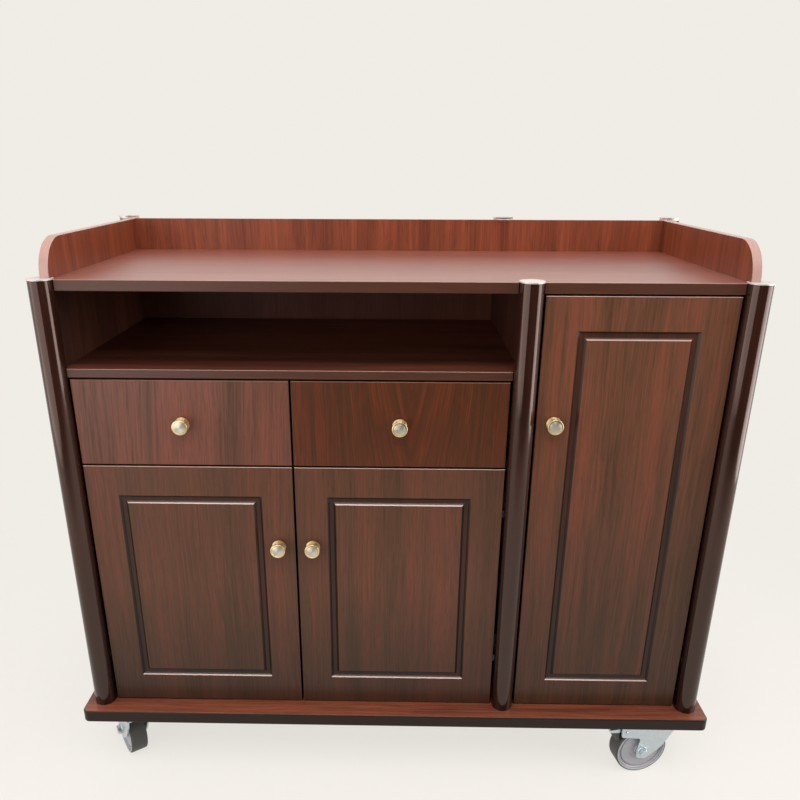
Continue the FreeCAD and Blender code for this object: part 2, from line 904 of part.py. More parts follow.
keep(group([caster_plate(x, y) for x, y in kingpins.values()]), "caster_plates")
screws = [
    plate_screw(x + across, y + along)
    for x, y in kingpins.values()
    for across, along in screw_places
]
keep(group(screws), "caster_screws")


# Fork, wheel and pedal are drawn about the axle's middle, with the kingpin ahead along their +X
roof = crown_low - axle_z
fork_inside = size.hub_width + 2 * size.hub_side_clear
fork_outside = fork_inside + 2 * size.fork_sheet


# Fork: two legs under a roof, with the wheel's axle riveted through them. Each leg reaches back over
# the tyre in a hook, which holds the brake pedal's pin.
def fork():
    body = new_body("fork")
    hook_low = roof - size.fork_hook_drop
    profile = [
        (-size.fork_hook, roof),
        (-size.fork_hook, hook_low),
        (-size.fork_waist, hook_low - size.fork_hook_slope),
        (-size.fork_tail, size.fork_tail_rise),
        (-size.fork_toe, -size.fork_toe_drop),
        (size.fork_toe, -size.fork_toe_drop),
        (size.fork_heel, size.fork_heel_rise),
        (size.fork_nose_turn, roof - size.fork_nose_drop),
        (size.fork_nose, roof),
    ]
    legs = extrude(body, "Pad", polygon(new_sketch(body, "XZ_Plane"), profile), fork_outside, "Symmetric")
    foot = number(size.fork_heel_rise) + touch
    legs = round_edges(
        body,
        legs,
        size.fork_round,
        lambda edge: runs_along(edge, "Y") and edge.BoundBox.ZMax < foot,
    )
    round_edges(
        body,
        legs,
        size.fork_hook_round,
        lambda edge: runs_along(edge, "Y")
        and (lies_at(edge, "Z", hook_low) or lies_at(edge, "Z", hook_low - size.fork_hook_slope)),
    )
    heads = circle(new_sketch(body, "XZ_Plane"), 0, 0, size.axle_head_dia / 2)
    extrude(body, "Pad", heads, fork_outside + 2 * size.axle_head_thick, "Symmetric")
    inside = fork_inside / 2
    gap = rectangle(
        new_sketch(body, "YZ_Plane"), -inside, -size.wheel_dia, inside, roof - size.fork_sheet
    )
    extrude(body, "Pocket", gap, 2 * (size.fork_nose + size.fork_hook), "Symmetric")
    axle = circle(new_sketch(body, "XZ_Plane"), 0, 0, size.axle_dia / 2)
    extrude(body, "Pad", axle, fork_outside, "Symmetric")
    return body


# The fork in its place, with the round crown on its roof and a bore for the kingpin
def standing_fork(x, y, turn):
    legs = turned(fork(), x, y, turn)
    crown = rod(x, y, crown_low, size.crown_dia / 2, size.crown_thick)
    bore = rod(
        x, y, fork_under - overrun, size.kingpin_dia / 2 + size.kingpin_clear,
        size.crown_thick + size.fork_sheet + 2 * overrun,
    )
    return cut(join(legs, crown), bore)


# The wheel trails behind the kingpin, so a caster's pieces turn about the kingpin together
def turned(piece, x, y, turn):
    back = FreeCAD.Rotation(FreeCAD.Vector(0, 0, 1), turn)
    away = f"* cos({turn} * 1 deg)", f"* sin({turn} * 1 deg)"
    cosine, sine = math.cos(math.radians(turn)), math.sin(math.radians(turn))
    shift_x = Size(size.trail.value * cosine, f"({size.trail.text} {away[0]})")
    shift_y = Size(size.trail.value * sine, f"({size.trail.text} {away[1]})")
    return place(piece, x - shift_x, y - shift_y, axle_z, back)


# Hub: bored barrel, a broad web with a groove round each face, and a rim that carries the tyre
def hub():
    body = new_body("hub")
    bore = size.axle_dia / 2 + size.axle_clear
    rim = size.wheel_dia / 2 - size.tyre_thick
    inner_rim = rim - size.hub_rim_thick
    groove_start = size.hub_groove_radius
    groove_end = size.hub_groove_radius + size.hub_groove_span
    half = [
        (bore, size.hub_width / 2),
        (size.hub_radius, size.hub_width / 2),
        (size.hub_radius, size.hub_web_width / 2),
        (groove_start, size.hub_web_width / 2),
        (groove_start, size.hub_groove_width / 2),
        (groove_end, size.hub_groove_width / 2),
        (groove_end, size.hub_web_width / 2),
        (inner_rim, size.hub_web_width / 2),
        (inner_rim, size.hub_rim_width / 2),
        (rim, size.hub_rim_width / 2),
    ]
    points = half + [(radius, -across) for radius, across in reversed(half)]
    revolve(body, polygon(new_sketch(body, "XY_Plane"), points), "V_Axis")
    return body


# Tyre: a solid ring with rounded shoulders
def tyre():
    body = new_body("tyre")
    inner = size.wheel_dia / 2 - size.tyre_thick + size.tyre_clear
    outer = size.wheel_dia / 2
    half = size.hub_width / 2 - size.tyre_inset
    ring = revolve(body, rectangle(new_sketch(body, "XY_Plane"), inner, -half, outer, half), "V_Axis")
    limit = number(outer)
    round_edges(
        body,
        ring,
        size.tyre_round,
        lambda edge: edge.BoundBox.ZMax > limit - touch and not runs_along(edge, "Y"),
    )
    return body


# Brake pedal: a tongue of bent sheet between the fork's hooks, with two side flanges and a turned-down
# lip. It turns about a pin through the hooks, and a shoe under it comes down on the tyre.
pedal_near = size.pedal_start - size.fork_hook
pedal_far = pedal_near - size.pedal_length
pedal_top = roof - size.fork_sheet - size.pedal_roof_gap
pivot_x = size.pedal_pivot_inset - size.fork_hook
pivot_z = roof - size.pedal_pivot_drop


def pedal():
    body = new_body("pedal")
    profile = [
        (pedal_far, pedal_top),
        (pedal_far, pedal_top - size.pedal_far_depth),
        (pedal_near, pedal_top - size.pedal_near_depth),
        (pedal_near, pedal_top),
    ]
    width = fork_inside - 2 * size.pedal_side_gap
    extrude(body, "Pad", polygon(new_sketch(body, "XZ_Plane"), profile), width, "Symmetric")
    half = width / 2 - size.pedal_sheet
    hollow = rectangle(
        new_sketch(body, "XY_Plane"), pedal_far + size.pedal_sheet, -half, pedal_near + overrun, half
    )
    extrude(body, "Pocket", hollow, 2 * (pedal_top - size.pedal_sheet), "Symmetric")
    shoe_near = -size.fork_hook
    shoe_low = roof - size.pedal_shoe_drop
    shoe = box(
        shoe_near - size.pedal_shoe_length, -size.pedal_shoe_width / 2, shoe_low,
        size.pedal_shoe_length, size.pedal_shoe_width, pedal_top - size.pedal_sheet - shoe_low,
    )
    pin = rod(pivot_x, -fork_outside / 2, pivot_z, size.pedal_pin_dia / 2, fork_outside, "Y")
    return join(body, shoe, pin)


for label, turn_share in TURN_SHARES.items():
    turn = 360 * turn_share
    x, y = kingpins[label]
    standing = standing_fork(x, y, turn)
    if label.startswith("front"):
        pin_bore = rod(pivot_x, -fork_outside / 2 - overrun, pivot_z,
                       size.pedal_pin_dia / 2 + size.pedal_pin_clear, fork_outside + 2 * overrun, "Y")
        standing = cut(standing, turned(group([pin_bore]), x, y, turn))
        keep(turned(group([pedal()]), x, y, turn), f"caster_{label}_pedal")
    keep(standing, f"caster_{label}_fork")
    keep(turned(hub(), x, y, turn), f"caster_{label}_hub")
    keep(turned(tyre(), x, y, turn), f"caster_{label}_tyre")

doc.recompute()

failed = [item.Name for item in doc.Objects if "Invalid" in item.State or "Error" in item.State]
if failed:
    raise RuntimeError(f"these objects did not compute: {failed}")
for node in nodes:
    if node.Shape.isNull() or not node.Shape.isValid():
        raise RuntimeError(f"{node.Label} has no valid shape")

os.makedirs("parts", exist_ok=True)
for node in nodes:
    node.Shape.exportStep(f"parts/{node.Label}.step")
    print(f"{node.Label:28s} solids {len(node.Shape.Solids)}  volume {node.Shape.Volume / 1000:10.2f} cm3")
print(len(nodes), "nodes")
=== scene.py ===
import math

import bmesh
import bpy
from mathutils import Matrix, Vector


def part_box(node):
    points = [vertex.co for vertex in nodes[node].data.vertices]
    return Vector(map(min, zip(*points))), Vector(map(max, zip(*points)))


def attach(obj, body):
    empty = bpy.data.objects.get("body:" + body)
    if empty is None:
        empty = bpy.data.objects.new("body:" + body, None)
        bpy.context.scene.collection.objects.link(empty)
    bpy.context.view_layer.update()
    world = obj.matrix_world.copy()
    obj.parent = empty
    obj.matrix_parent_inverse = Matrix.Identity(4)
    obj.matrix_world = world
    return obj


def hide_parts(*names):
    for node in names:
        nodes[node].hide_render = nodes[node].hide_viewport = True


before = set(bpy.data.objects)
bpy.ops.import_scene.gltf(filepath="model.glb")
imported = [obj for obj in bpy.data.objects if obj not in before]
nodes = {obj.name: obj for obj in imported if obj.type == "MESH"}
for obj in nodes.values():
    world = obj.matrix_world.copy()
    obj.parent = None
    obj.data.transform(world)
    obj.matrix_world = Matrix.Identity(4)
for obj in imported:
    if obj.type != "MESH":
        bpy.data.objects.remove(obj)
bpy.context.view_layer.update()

scene = bpy.context.scene
scene.view_settings.view_transform = "Standard"


# The camera stands in front of the middle, a hand's width above the gallery's top, and looks down by
# 21 degrees. Its lens and place come from lining the cabinet's straight edges up with the photograph.
camera_data = bpy.data.cameras.new("camera")
camera_data.sensor_width = 36
camera_data.lens = 33.42
camera_data.shift_x = 0.0211
camera_data.shift_y = 0.0561
camera_data.clip_end = 50
camera = bpy.data.objects.new("camera", camera_data)
scene.collection.objects.link(camera)
camera.location = (-0.0019, -1.4014, 1.1483)
camera.rotation_euler = (math.pi / 2 - 0.365, -0.003, 0.018)
scene.camera = camera


# Floor and surround: one pale sheet that runs into a pale surround of the same colour, as in a
# product photograph. The camera sees them pale all round, and so does mirrored light, apart from the
# dim end of the studio in front of the cabinet. The floor keeps a soft shadow.
def linear(hex_colour):
    """Turns an sRGB hex colour into the linear red, green, blue and alpha that Blender wants."""
    parts = [int(hex_colour[i:i + 2], 16) / 255 for i in (1, 3, 5)]
    return [p / 12.92 if p <= 0.04045 else ((p + 0.055) / 1.055) ** 2.4 for p in parts] + [1]


def add(tree, kind, inputs=None, stops=None, **settings):
    """Adds a shader node, sets its options and colour stops, and fills or links its sockets."""
    item = tree.nodes.new(f"ShaderNode{kind}")
    for name, value in settings.items():
        setattr(item, name, value)
    for place, colour in stops or []:
        ramp = item.color_ramp.elements
        stop = ramp[0] if place == 0 else ramp[-1] if place == 1 else ramp.new(place)
        stop.color = linear(colour)
    for socket, value in (inputs or {}).items():
        if isinstance(value, bpy.types.NodeSocket):
            tree.links.new(value, item.inputs[socket])
        else:
            item.inputs[socket].default_value = value
    return item


def new_material(name):
    """A fresh material: its node tree, its object coordinates in metres, and its output."""
    material = bpy.data.materials.new(name)
    material.use_nodes = True
    tree = material.node_tree
    tree.nodes.clear()
    output = add(tree, "OutputMaterial")
    return material, tree, add(tree, "TexCoord").outputs["Object"], output


def surround(tree, lit, pale, dim, behind):
    """Mixes three shaders: one that sheds light, a pale one that the camera and mirrored or refracted
    rays see, and a dim one that mirrored rays see where the factor called behind is zero."""
    path = add(tree, "LightPath").outputs
    rays = {0: path["Is Camera Ray"], 1: path["Is Transmission Ray"]}
    straight = add(tree, "Math", rays, operation="MAXIMUM").outputs[0]
    bright = add(tree, "Math", {0: straight, 1: behind}, operation="MAXIMUM").outputs[0]
    shown = add(tree, "MixShader", {0: bright, 1: dim, 2: pale}).outputs[0]
    seen = add(tree, "Math", {0: straight, 1: path["Is Glossy Ray"]}, operation="MAXIMUM").outputs[0]
    return add(tree, "MixShader", {0: seen, 1: lit, 2: shown}).outputs[0]


studio_white = "#F0ECE6"
studio_dim = "#3E3A37"
dim_sky = (-0.8, -0.35)
world = bpy.data.worlds.new("studio")
scene.world = world
world.use_nodes = True
tree = world.node_tree
tree.nodes.clear()
lit = add(tree, "Background", {"Color": linear("#FFFFFF"), "Strength": 0.4}).outputs[0]
pale = add(tree, "Background", {"Color": linear(studio_white), "Strength": 1.0}).outputs[0]
dim = add(tree, "Background", {"Color": linear(studio_dim), "Strength": 1.0}).outputs[0]
way = add(tree, "SeparateXYZ", {0: add(tree, "TexCoord").outputs["Generated"]}).outputs[1]
behind = add(tree, "MapRange", {0: way, 1: dim_sky[0], 2: dim_sky[1], 3: 0.0, 4: 1.0}).outputs[0]
add(tree, "OutputWorld", {"Surface": surround(tree, lit, pale, dim, behind)})

floor_half = 6
dim_floor = (-2.2, -1.3)
shadow_share = 0.18
shadow_reach = (0.75, 1.5)
floor_mesh = bpy.data.meshes.new("floor")
corners = [(x * floor_half, y * floor_half, 0) for x, y in ((-1, -1), (1, -1), (1, 1), (-1, 1))]
floor_mesh.from_pydata(corners, [], [(0, 1, 2, 3)])
floor = bpy.data.objects.new("floor", floor_mesh)
scene.collection.objects.link(floor)
floor_paper, tree, coordinates, output = new_material("floor_paper")
fibre = add(tree, "TexNoise", {"Vector": coordinates, "Scale": 40.0, "Detail": 4.0})
tint = add(tree, "ValToRGB", {0: fibre.outputs["Fac"]}, stops=[(0, "#EFEBE5"), (1, "#F1EDE7")])
away = add(tree, "VectorMath", {0: coordinates}, operation="LENGTH").outputs["Value"]
near = add(
    tree, "MapRange", {0: away, 1: shadow_reach[0], 2: shadow_reach[1], 3: shadow_share, 4: 0.0},
    interpolation_type="SMOOTHSTEP",
)
glow = add(tree, "Emission", {"Color": tint.outputs[0], "Strength": 1.0})
paper = add(tree, "BsdfDiffuse", {"Color": tint.outputs[0], "Roughness": 0.5})
dim_paper = add(tree, "BsdfDiffuse", {"Color": linear("#8E8A84")})
pale = add(tree, "MixShader", {0: near.outputs[0], 1: glow.outputs[0], 2: paper.outputs[0]}).outputs[0]
dim = add(tree, "Emission", {"Color": linear(studio_dim), "Strength": 1.0}).outputs[0]
way = add(tree, "SeparateXYZ", {0: coordinates}).outputs[1]
behind = add(tree, "MapRange", {0: way, 1: dim_floor[0], 2: dim_floor[1], 3: 0.0, 4: 1.0}).outputs[0]
sheet = surround(tree, dim_paper.outputs[0], pale, dim, behind)
tree.links.new(sheet, output.inputs["Surface"])
floor_mesh.materials.append(floor_paper)


# Studio light: a wide softbox above and in front, which lights the fronts and, with the highlight
# painted on the fronts, draws the bright line in each routed panel, one over the worktop, a broad one
# on the left and a narrower one on the right, which draw the pale stripes on the posts.
def softbox(name, place, target, width, height, watts):
    """A rectangular area lamp that faces a point."""
    data = bpy.data.lights.new(name, "AREA")
    data.shape = "RECTANGLE"
    data.size = width
    data.size_y = height
    data.energy = watts
    lamp = bpy.data.objects.new(name, data)
    scene.collection.objects.link(lamp)
    lamp.location = place
    lamp.visible_camera = False
    lamp.rotation_euler = (Vector(target) - Vector(place)).to_track_quat("-Z", "Y").to_euler()
    return lamp


softbox("over_the_front", (0, -1.6, 2.95), (0, -0.7, 0.6), 2.8, 1.6, 62)
softbox("left_side", (-1.75, -1.5, 1.0), (0, 0.25, 0.8), 2.8, 2.0, 34)
softbox("right_side", (2.1, -0.65, 1.0), (0, -0.5, 0.8), 1.6, 2.0, 40)
softbox("overhead", (0, 0.5, 2.9), (0, 0.1, 0.9), 2.4, 1.4, 24)


# Base board: 25 mm particle board on the casters, faced with a mahogany-pattern foil, which is
# printed, pressed on hot and slightly embossed, so that red-brown streaks show in a satin skin with
# fine pores. Its edge is a dark moulded plastic band, and its underside the bare backing paper.
def dress(names, material):
    """Puts one material on several CAD nodes."""
    for name in names:
        mesh = nodes[name].data
        mesh.materials.clear()
        mesh.materials.append(material)


def facing(tree, axis, low, high):
    """Goes from zero to one as the surface turns towards an axis of the part."""
    normal = add(tree, "TexCoord").outputs["Normal"]
    turned = add(tree, "VectorMath", {0: normal, 1: axis}, operation="DOT_PRODUCT").outputs["Value"]
    return add(tree, "MapRange", {0: turned, 1: low, 2: high, 3: 0.0, 4: 1.0}).outputs[0]


def drawn_grain(tree, place, scale, detail, rough=0.5):
    """A random grain drawn out along the part's axes, with one count per metre for each axis."""
    drawn = add(tree, "VectorMath", {0: place, 1: scale}, operation="MULTIPLY").outputs[0]
    settings = {"Vector": drawn, "Scale": 1.0, "Detail": detail, "Roughness": rough}
    return add(tree, "TexNoise", settings).outputs


least_slope = 0.02
bend_reach = 0.024


def foil_skin(tree, coordinates, dark, middle, red, grain=(1, 1, 0), along=(0, 0, 1), shift=(0, 0, 0),
              roughness=0.34, index=1.4, coat=0.0, gloss=0.14, vee=None, shade=(), darker=None):
    """Mahogany foil. Grain picks the axes across the streaks, and along the axis that they follow.
    Vee is where the streaks close into a row of Vs, the height where the Vs start, their slope and how
    far it reaches. Shade is a list of fades of painted light and shade, each an axis and two places on
    it in metres with the factor that the colour is multiplied by there, and darker is one more factor
    that the colour is multiplied by."""
    moved = add(tree, "VectorMath", {0: coordinates, 1: shift}, operation="ADD").outputs[0]
    parts = add(tree, "SeparateXYZ", {0: coordinates}).outputs
    if vee:
        heart, foot, slope, reach = vee
        across = add(tree, "Math", {0: parts[0], 1: heart}, operation="SUBTRACT").outputs[0]
        across = add(tree, "Math", {0: across}, operation="ABSOLUTE").outputs[0]
        lean = add(tree, "MapRange", {0: across, 1: 0.0, 2: reach, 3: -slope, 4: -least_slope})
        lift = add(tree, "Math", {0: parts[2], 1: foot}, operation="SUBTRACT").outputs[0]
        across = add(tree, "Math", {0: lift, 1: lean.outputs[0], 2: across}, operation="MULTIPLY_ADD")
        moved = add(tree, "CombineXYZ", {0: across.outputs[0], 1: shift[1], 2: parts[2]}).outputs[0]

    # Slow waves bend the streaks by up to 12 mm: they are about 90 mm across and 350 mm long
    slow = [11 * g + 2.8 * a for g, a in zip(grain, along)]
    bend = drawn_grain(tree, moved, slow, 2.0)["Color"]
    bend = add(tree, "VectorMath", {0: bend, 1: (0.5, 0.5, 0.5)}, operation="SUBTRACT").outputs[0]
    bend = add(tree, "VectorMath", {0: bend, "Scale": bend_reach}, operation="SCALE").outputs[0]
    bent = add(tree, "VectorMath", {0: moved, 1: bend}, operation="ADD").outputs[0]

    # Broad figure 40 mm wide and 700 mm long, and streaks 3 mm wide and 250 mm long, in equal shares
    wide = drawn_grain(tree, bent, [24 * g + 1.4 * a for g, a in zip(grain, along)], 3.0, 0.6)["Fac"]
    fine = drawn_grain(tree, bent, [320 * g + 4 * a for g, a in zip(grain, along)], 3.0, 0.6)["Fac"]
    # Pores: real ones are 0.2 mm wide, drawn here as 1 mm wide and 30 mm long so that they show
    pores = drawn_grain(tree, bent, [850 * g + 30 * a for g, a in zip(grain, along)], 1.0)["Fac"]

    mixed = add(tree, "Math", {0: fine, 1: 0.5}, operation="MULTIPLY").outputs[0]
    mixed = add(tree, "Math", {0: wide, 1: 0.5, 2: mixed}, operation="MULTIPLY_ADD").outputs[0]
    stops = [(0, dark), (1, red), (0.38, dark), (0.5, middle), (0.62, red)]
    figure = add(tree, "ValToRGB", {0: mixed}, stops=stops)
    pores_and_painted_light = add(tree, "MapRange", {0: pores, 1: 0.3, 2: 0.5, 3: 0.8, 4: 1.0}).outputs[0]
    # Painted light and shade: each fade lightens or darkens the colour along one axis of the part.
    for axis, (low, low_shade), (high, high_shade) in shade:
        fade = add(tree, "MapRange", {0: parts[axis], 1: low, 2: high, 3: low_shade, 4: high_shade})
        pores_and_painted_light = add(tree, "Math", {0: pores_and_painted_light, 1: fade.outputs[0]}, operation="MULTIPLY").outputs[0]
    if darker:
        pores_and_painted_light = add(tree, "Math", {0: pores_and_painted_light, 1: darker}, operation="MULTIPLY").outputs[0]
    colour = add(
        tree, "Mix", {0: 1.0, 6: figure.outputs[0], 7: pores_and_painted_light}, data_type="RGBA", blend_type="MULTIPLY"
    )
    rough = add(tree, "MapRange", {0: fine, 1: 0.3, 2: 0.7, 3: roughness + 0.05, 4: roughness - 0.04})
    bump = add(tree, "Bump", {"Strength": 0.12, "Distance": 0.0001, "Height": pores})
    return add(tree, "BsdfPrincipled", {
        "Base Color": colour.outputs[2], "Roughness": rough.outputs[0], "IOR": index,
        "Coat Weight": coat, "Coat Roughness": gloss, "Normal": bump.outputs[0],
    }).outputs[0]


def band_skin(tree, coordinates, low, high, roughness=0.3, along=(1, 0, 0), index=1.42):
    """Edge band: a thin moulded plastic strip, glued on, with a faint grain and a soft shine."""
    lines = drawn_grain(tree, coordinates, [20 if a else 700 for a in along], 3.0)["Fac"]
    tone = add(tree, "ValToRGB", {0: lines}, stops=[(0, low), (1, high)])
    rough = add(tree, "MapRange", {0: lines, 1: 0.3, 2: 0.7, 3: roughness - 0.04, 4: roughness + 0.05})
    bump = add(tree, "Bump", {"Strength": 0.1, "Distance": 0.0001, "Height": lines})
    return add(tree, "BsdfPrincipled", {
        "Base Color": tone.outputs[0], "Roughness": rough.outputs[0], "IOR": index,
        "Normal": bump.outputs[0],
    }).outputs[0]


base_material, tree, coordinates, output = new_material("mahogany_base_board")
base_foil = foil_skin(
    tree, coordinates, "#5A2D1D", "#743E2C", "#894933", grain=(0, 1, 1), along=(1, 0, 0),
    roughness=0.24, index=1.45, coat=0.25,
)
base_band = band_skin(tree, coordinates, "#1E120D", "#281A14", 0.32, index=1.3)
backing = band_skin(tree, coordinates, "#4A3D34", "#5A4C41", 0.7)
above = facing(tree, (0, 0, 1), 0.88, 0.95)
below = facing(tree, (0, 0, -1), 0.75, 0.85)
edged = add(tree, "MixShader", {0: above, 1: base_band, 2: base_foil}).outputs[0]
edged = add(tree, "MixShader", {0: below, 1: edged, 2: backing}).outputs[0]
tree.links.new(edged, output.inputs["Surface"])
dress(["base_board"], base_material)


# Side panels and back panel: 15 and 12 mm particle board with the grain standing, cut round at the
# gallery's front corners. A pale glossy band is glued over the gallery's top edge, pale partly in its
# own colour and partly as a painted reflection. The foil is darker outside, and inside the carcass,
# under the worktop, it is darkened as painted shade, with painted light that makes it lighter low
# down, and on the side panels towards the back.
worktop_under, worktop_over = 0.958, 0.968
outside_tone = 0.68


def upright_board(name, inside, colours, banded=((0, 0, 1),), painted_light_deeper=()):
    """An upright board, with its own foil on the side that looks into the carcass, darkened there below
    the worktop as painted shade, a darker one outside and an edge band on the faces that look the
    banded ways. The last argument is painted light that makes the lining paler from front to back."""
    material, tree, coordinates, output = new_material(name)
    outward = facing(tree, [-way for way in inside], 0.7, 0.8)
    outward = add(tree, "MapRange", {0: outward, 1: 0.0, 2: 1.0, 3: 1.0, 4: outside_tone}).outputs[0]
    outer = foil_skin(
        tree, coordinates, "#67311D", "#7C3C26", "#8E472B", shift=(1.3, 2.2, 0.4), roughness=0.36,
        darker=outward,
    )
    # Painted light and shade on the lining: lighter low in the carcass, darker just under the worktop.
    painted_light_under_top = (2, (0.84, 1.25), (0.94, 0.6))
    inner = foil_skin(
        tree, coordinates, *colours, shift=(1.3, 2.2, 0.4), roughness=0.5,
        shade=[painted_light_under_top, *painted_light_deeper],
    )
    # Painted shade: the dark lining goes on the faces that look in below the worktop.
    height = add(tree, "SeparateXYZ", {0: coordinates}).outputs[2]
    below = add(tree, "MapRange", {0: height, 1: worktop_under, 2: worktop_over, 3: 1.0, 4: 0.0}).outputs[0]
    looks_in = facing(tree, inside, 0.7, 0.8)
    hidden = add(tree, "Math", {0: below, 1: looks_in}, operation="MULTIPLY").outputs[0]
    face = add(tree, "MixShader", {0: hidden, 1: outer, 2: inner}).outputs[0]
    # The band's pale tones are partly its own colour and partly a painted reflection of the bright
    # surround.
    band = band_skin(tree, coordinates, "#A07C72", "#B48F85", 0.22, [1 - abs(way) for way in inside])
    edge = facing(tree, banded[0], 0.25, 0.4)
    for way in banded[1:]:
        turned = facing(tree, way, 0.25, 0.4)
        edge = add(tree, "Math", {0: edge, 1: turned}, operation="MAXIMUM").outputs[0]
    edged = add(tree, "MixShader", {0: edge, 1: face, 2: band}).outputs[0]
    tree.links.new(edged, output.inputs["Surface"])
    return material


# The lining's dark tones are painted shade, and the fade after them is painted light that makes the sides'
# lining paler towards the back.
shaded_side_lining = ("#28150E", "#341B13", "#43251A")
round_the_end = ((0, 0, 1), (0, -1, 0))
painted_light_behind = [(1, (-0.2, 1.2), (0.15, 6.0))]
left_side = upright_board("mahogany_left_side", (1, 0, 0), shaded_side_lining, round_the_end, painted_light_behind)
right_side = upright_board("mahogany_right_side", (-1, 0, 0), shaded_side_lining, round_the_end, painted_light_behind)
back = upright_board("mahogany_back", (0, -1, 0), ("#5C2D1F", "#643323", "#6C3828"))
dress(["side_panel_left"], left_side)
dress(["side_panel_right"], right_side)
dress(["back_panel"], back)


# Worktop, niche shelf and the shelves inside: 15 and 18 mm boards, with the foil's grain along the
# front and a gloss lacquer over it on the worktop. A browner plastic band covers the front edges,
# with a pale painted highlight where it turns over the top.
upward = (0, -0.7071, 0.7071)


def fronted(name, colours, band, **choices):
    """A lying board whose front edge has a plastic band, with a pale painted highlight where it turns over
    the top.
    """
    material, tree, coordinates, output = new_material(name)
    face = foil_skin(tree, coordinates, *colours, grain=(0, 1, 1), along=(1, 0, 0), **choices)
    edge = band_skin(tree, coordinates, *band)
    ahead = facing(tree, (0, -1, 0), 0.6, 0.72)
    both = add(tree, "MixShader", {0: ahead, 1: face, 2: edge}).outputs[0]
    # Painted highlight: pale tones where the front edge turns over the top.
    painted_highlight_band = band_skin(tree, coordinates, "#8C6A60", "#A07C70", 0.24, index=1.55)
    painted_highlight_mask = facing(tree, upward, 0.9, 0.97)
    both = add(tree, "MixShader", {0: painted_highlight_mask, 1: both, 2: painted_highlight_band}).outputs[0]
    tree.links.new(both, output.inputs["Surface"])
    return material


worktop_gloss = fronted(
    "mahogany_worktop", ("#763729", "#844435", "#8D4D3D"), ("#432419", "#523022", 0.34),
    roughness=0.34, index=1.5, coat=1.0, gloss=0.36,
)
# The shelves' dark tones are painted shade, lifted by painted light along the front strip and towards the
# back.
lit_front_strip = (1, (-0.222, 3.2), (-0.15, 0.85))
painted_light_towards_back = (1, (-0.15, 1.0), (0.05, 6.0))
shaded_shelf_foil = fronted(
    "mahogany_niche_shelf", ("#2B130B", "#371A10", "#462416"), ("#42241A", "#502F22", 0.34),
    roughness=0.4, shade=[lit_front_strip, painted_light_towards_back],
)
dress(["worktop"], worktop_gloss)
shelves = ["niche_shelf", "drawer_deck", "cupboard_shelf", "tall_shelf_lower", "tall_shelf_upper"]
dress(shelves, shaded_shelf_foil)


# Divider and drawer upright: plain particle boards that stand inside the carcass on dowels, faced
# with a foil on every side, as satin as the shelves'. Its dark tone is painted shade, with painted
# light that makes it paler towards the back.
def mahogany(name, *colours, **choices):
    """A whole board in mahogany foil."""
    material, tree, coordinates, output = new_material(name)
    tree.links.new(foil_skin(tree, coordinates, *colours, **choices), output.inputs["Surface"])
    return material


# Painted shade in the dark tones, and painted light in the fade towards the back.
shaded_inside_foil = mahogany(
    "mahogany_inside_board", "#22100A", "#30170F", "#3E2015", shift=(5.2, 1.2, 0), roughness=0.45,
    shade=[(1, (-0.2, 1.4), (0.15, 3.0))],
)
dress(["centre_divider", "drawer_upright"], shaded_inside_foil)


# Doors and drawer fronts: 16 mm MDF with softened edges, the doors with a routed line, wrapped in
# one piece of foil, with a pale painted highlight where an edge looks up, and painted shade on the
# floor of the routed line and on slopes and edges that look down or sideways. The drawer fronts are
# redder, and the right one shows a row of Vs.
def wrapped(name, *colours, highlight_tones=("#A08078", "#B4948A", 1.6), **choices):
    """Foil round a front, with a pale painted highlight at the brink of the slopes that look up, and
    painted shade on those that look down or sideways and on the floor of the routed line. The back of
    the front keeps its full tone. The painted highlight's two pale tones and their IOR come as one
    keyword argument."""
    material, tree, coordinates, output = new_material(name)
    # Painted shade on the floor of the routed line and on slopes and edges that look down or sideways.
    depth = add(tree, "SeparateXYZ", {0: coordinates}).outputs[1]
    lip, floor_of_line = front_face + 0.001, front_face + 0.0036
    sunk = add(tree, "MapRange", {0: depth, 1: lip, 2: floor_of_line, 3: 1.0, 4: line_floor_shade}).outputs[0]
    back_face = facing(tree, (0, 1, 0), 0.5, 0.7)
    sunk = add(tree, "Math", {0: sunk, 1: back_face}, operation="MAXIMUM").outputs[0]
    slope = facing(tree, (0, 0, -1), 0.45, 0.6)
    for way in ((1, 0, 0), (-1, 0, 0)):
        turned = facing(tree, way, 0.45, 0.6)
        slope = add(tree, "Math", {0: slope, 1: turned}, operation="MAXIMUM").outputs[0]
    shadowed = add(tree, "MapRange", {0: slope, 1: 0.0, 2: 1.0, 3: 1.0, 4: slope_shade}).outputs[0]
    darker = add(tree, "Math", {0: sunk, 1: shadowed}, operation="MULTIPLY").outputs[0]
    face = foil_skin(tree, coordinates, *colours, index=1.37, darker=darker, **choices)
    # Painted highlight: pale tones on the upper half of the slopes that look up.
    pale, paler, index = highlight_tones
    painted_highlight = band_skin(tree, coordinates, pale, paler, 0.2, index=index)
    brink, past_brink = front_face + 0.0014, front_face + 0.002
    rim = add(tree, "MapRange", {0: depth, 1: brink, 2: past_brink, 3: 1.0, 4: 0.0}).outputs[0]
    looks_up = facing(tree, upward, 0.9, 0.97)
    rim = add(tree, "Math", {0: looks_up, 1: rim}, operation="MULTIPLY").outputs[0]
    both = add(tree, "MixShader", {0: rim, 1: face, 2: painted_highlight}).outputs[0]
    tree.links.new(both, output.inputs["Surface"])
    return material


front_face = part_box("left_door")[0].y
line_floor_shade, slope_shade = 0.4, 0.3
drawer_foot = 0.657
# Painted shade: the doors are darker towards their foot.
painted_shade_to_middle = [(2, (0.16, 0.44), (0.42, 1.0))]
painted_shade_to_top = [(2, (0.16, 0.46), (0.8, 1.0))]
